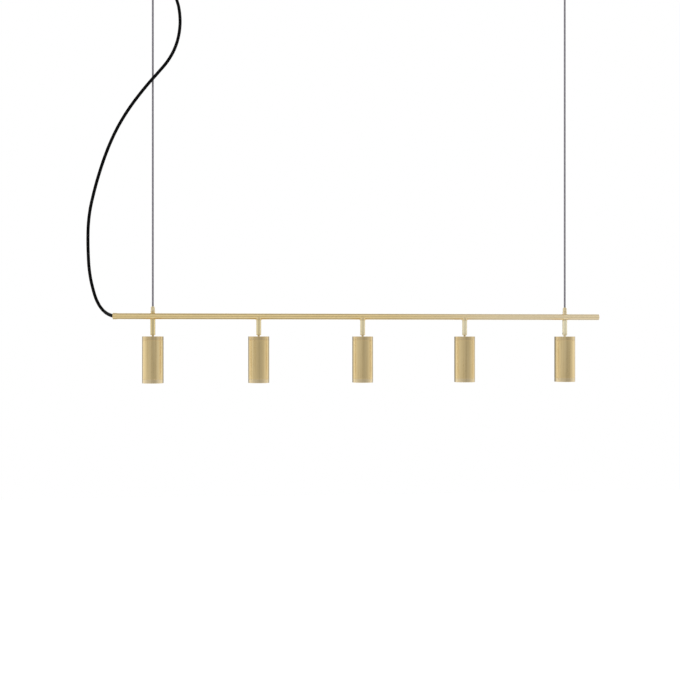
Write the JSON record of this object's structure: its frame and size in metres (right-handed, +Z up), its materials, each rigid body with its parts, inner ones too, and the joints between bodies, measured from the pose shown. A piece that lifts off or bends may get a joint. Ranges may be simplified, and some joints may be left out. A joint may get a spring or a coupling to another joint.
{
  "type": "linear pendant light",
  "caption": "Straight brushed brass bar hung on two wires, with tilting, turning cylindrical spots below it and a black cord to a ceiling cup.",
  "frame": {"origin": "on the ceiling plane, midway between the screw holes of the two wire anchors", "axes": "+X along the bar, away from the cord's end; +Z up; -Y towards the viewer of the picture; the stems' slots face +Y, the side to which the shades tilt"},
  "size_m": [1.4875, 0.08, 1.1703],
  "materials": {
    "brushed_brass": "satin brushed brass, fine streaks along each piece",
    "dark_brass": "turned brass, slightly darkened",
    "zinc_steel": "zinc plated steel",
    "black_rubber": "matte moulded rubber",
    "black_textile": "black braided textile",
    "grey_textile": "grey braided textile over steel wire",
    "white_ceramic": "glazed white ceramic",
    "pale_plastic": "moulded, semi gloss",
    "lamp_body": "reflector with a clear lens",
    "lead_insulation": "silicone insulation"
  },
  "bodies": {
    "bar_frame": {"bar_tube": "brushed_brass", "bar_end_cap": "brushed_brass", "cord_ferrule": "brushed_brass", "cord_strain_relief": "black_rubber", "thread_blocks": "zinc_steel", "swivel_nipples": "dark_brass", "stem_saddles": "brushed_brass", "hanger_collars": "brushed_brass", "wire_grippers": "brushed_brass", "wire_left": "grey_textile", "wire_right": "grey_textile", "anchor_caps": "brushed_brass", "anchor_bases": "zinc_steel", "ceiling_plate": "zinc_steel", "ceiling_cup": "brushed_brass", "cup_screws": "brushed_brass", "terminal_block": "pale_plastic", "cup_cord_grip": "dark_brass", "power_cord": "black_textile", "bar_harness": "lead_insulation"},
    "spot_stem_1": {"stem_1": "brushed_brass", "pivot_pins_1": "zinc_steel"},
    "spot_head_1": {"neck_1": "brushed_brass", "shade_cap_1": "brushed_brass", "shade_tube_1": "brushed_brass", "front_ring_1": "brushed_brass", "lamp_holder_1": "white_ceramic", "lamp_1": "lamp_body"},
    "spot_stem_2": {"stem_2": "brushed_brass", "pivot_pins_2": "zinc_steel"},
    "spot_head_2": {"neck_2": "brushed_brass", "shade_cap_2": "brushed_brass", "shade_tube_2": "brushed_brass", "front_ring_2": "brushed_brass", "lamp_holder_2": "white_ceramic", "lamp_2": "lamp_body"},
    "spot_stem_3": {"stem_3": "brushed_brass", "pivot_pins_3": "zinc_steel"},
    "spot_head_3": {"neck_3": "brushed_brass", "shade_cap_3": "brushed_brass", "shade_tube_3": "brushed_brass", "front_ring_3": "brushed_brass", "lamp_holder_3": "white_ceramic", "lamp_3": "lamp_body"},
    "spot_stem_4": {"stem_4": "brushed_brass", "pivot_pins_4": "zinc_steel"},
    "spot_head_4": {"neck_4": "brushed_brass", "shade_cap_4": "brushed_brass", "shade_tube_4": "brushed_brass", "front_ring_4": "brushed_brass", "lamp_holder_4": "white_ceramic", "lamp_4": "lamp_body"},
    "spot_stem_5": {"stem_5": "brushed_brass", "pivot_pins_5": "zinc_steel"},
    "spot_head_5": {"neck_5": "brushed_brass", "shade_cap_5": "brushed_brass", "shade_tube_5": "brushed_brass", "front_ring_5": "brushed_brass", "lamp_holder_5": "white_ceramic", "lamp_5": "lamp_body"}
  },
  "joints": [
    {"name": "swivel_1", "type": "hinge", "parent": "bar_frame", "child": "spot_stem_1", "pos_m": [-0.6, 0, -0.9899], "axis": [0, 0, 1], "range_deg": [-175, 175]},
    {"name": "tilt_1", "type": "hinge", "parent": "spot_stem_1", "child": "spot_head_1", "pos_m": [-0.6, 0, -1.0277], "axis": [1, 0, 0], "range_deg": [0, 90]},
    {"name": "swivel_2", "type": "hinge", "parent": "bar_frame", "child": "spot_stem_2", "pos_m": [-0.3, 0, -0.9899], "axis": [0, 0, 1], "range_deg": [-175, 175]},
    {"name": "tilt_2", "type": "hinge", "parent": "spot_stem_2", "child": "spot_head_2", "pos_m": [-0.3, 0, -1.0277], "axis": [1, 0, 0], "range_deg": [0, 90]},
    {"name": "swivel_3", "type": "hinge", "parent": "bar_frame", "child": "spot_stem_3", "pos_m": [0, 0, -0.9899], "axis": [0, 0, 1], "range_deg": [-175, 175]},
    {"name": "tilt_3", "type": "hinge", "parent": "spot_stem_3", "child": "spot_head_3", "pos_m": [0, 0, -1.0277], "axis": [1, 0, 0], "range_deg": [0, 90]},
    {"name": "swivel_4", "type": "hinge", "parent": "bar_frame", "child": "spot_stem_4", "pos_m": [0.3, 0, -0.9899], "axis": [0, 0, 1], "range_deg": [-175, 175]},
    {"name": "tilt_4", "type": "hinge", "parent": "spot_stem_4", "child": "spot_head_4", "pos_m": [0.3, 0, -1.0277], "axis": [1, 0, 0], "range_deg": [0, 90]},
    {"name": "swivel_5", "type": "hinge", "parent": "bar_frame", "child": "spot_stem_5", "pos_m": [0.6, 0, -0.9899], "axis": [0, 0, 1], "range_deg": [-175, 175]},
    {"name": "tilt_5", "type": "hinge", "parent": "spot_stem_5", "child": "spot_head_5", "pos_m": [0.6, 0, -1.0277], "axis": [1, 0, 0], "range_deg": [0, 90]}
  ]
}
